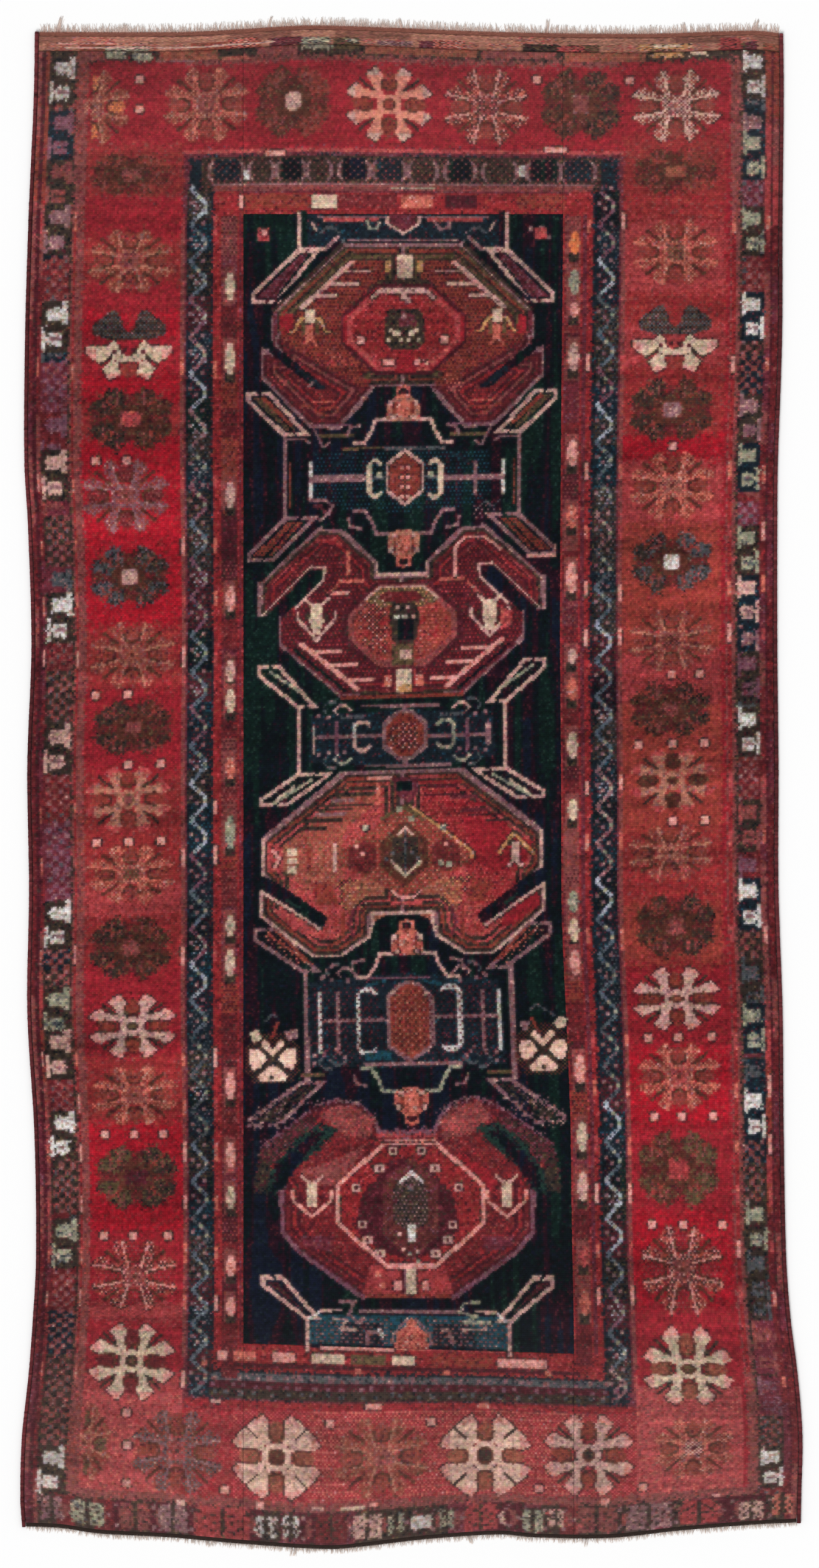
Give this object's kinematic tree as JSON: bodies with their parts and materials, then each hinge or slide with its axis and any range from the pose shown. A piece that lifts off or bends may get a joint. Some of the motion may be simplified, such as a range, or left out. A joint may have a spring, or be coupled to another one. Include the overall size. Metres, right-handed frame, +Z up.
{
  "type": "caucasian rug",
  "caption": "Worn hand-knotted long rug lying flat, with a chain of medallions on a dark field, red rosette border, overcast sides and short frayed ends.",
  "frame": {"origin": "centre of the rug's outer box in plan, on the surface that it lies on", "axes": "+Z up out of the pile, +Y along the rug from its foot to its head, +X across it to the right"},
  "size_m": [1.3382, 2.636, 0.0078],
  "materials": {
    "wool_pile": "matte",
    "selvedge_wool": "matte",
    "warp_wool": "matte"
  },
  "bodies": {
    "root": {"rug_cloth": "wool_pile", "selvedge_left": "selvedge_wool", "selvedge_right": "selvedge_wool", "fringe_head": "warp_wool", "fringe_foot": "warp_wool"}
  },
  "joints": []
}
